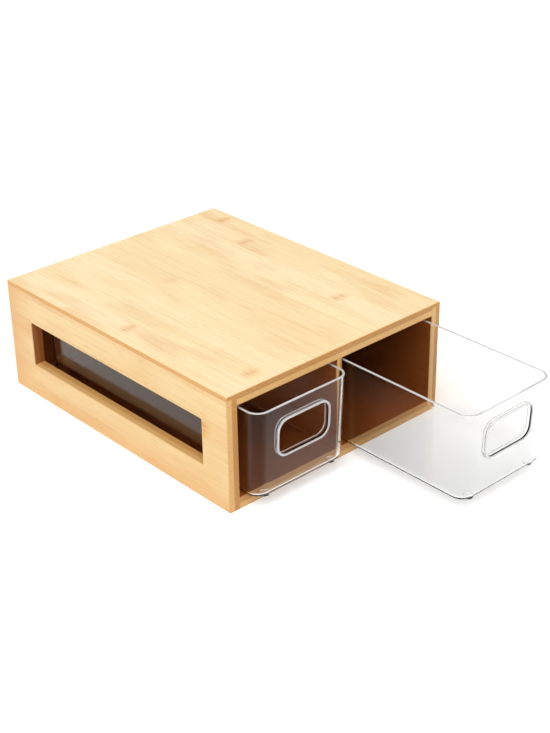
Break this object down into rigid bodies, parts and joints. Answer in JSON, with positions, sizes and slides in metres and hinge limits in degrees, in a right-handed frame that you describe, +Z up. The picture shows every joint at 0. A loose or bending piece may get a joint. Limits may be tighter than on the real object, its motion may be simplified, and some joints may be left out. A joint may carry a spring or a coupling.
{
  "type": "tea bag drawer box",
  "caption": "Low bamboo case with clear moulded drawers side by side for tea sachets; each slides out by a collared finger hole, and one side board has a long window.",
  "frame": {"origin": "middle of the underside of the case, on the surface that it stands on", "axes": "+Z up, -Y out of the open front where the drawers pull out, +X to the right seen from the front"},
  "size_m": [0.231, 0.4122, 0.1],
  "materials": {
    "bamboo_board": "strip-laminated bamboo, sanded, thin satin lacquer",
    "dowel_wood": "plain beech dowel, glued",
    "clear_plastic": "clear moulded plastic, polished"
  },
  "bodies": {
    "case": {"top_panel": "bamboo_board", "bottom_panel": "bamboo_board", "left_side_panel": "bamboo_board", "right_side_panel": "bamboo_board", "back_panel": "bamboo_board", "divider": "bamboo_board", "base_dowels": "dowel_wood"},
    "left_drawer": {"left_drawer": "clear_plastic"},
    "right_drawer": {"right_drawer": "clear_plastic"}
  },
  "joints": [
    {"name": "left_drawer_slide", "type": "slide", "parent": "case", "child": "left_drawer", "axis": [0, -1, 0], "range_m": [-0.022, 0.182]},
    {"name": "right_drawer_slide", "type": "slide", "parent": "case", "child": "right_drawer", "axis": [0, -1, 0], "range_m": [-0.131, 0.073]}
  ]
}
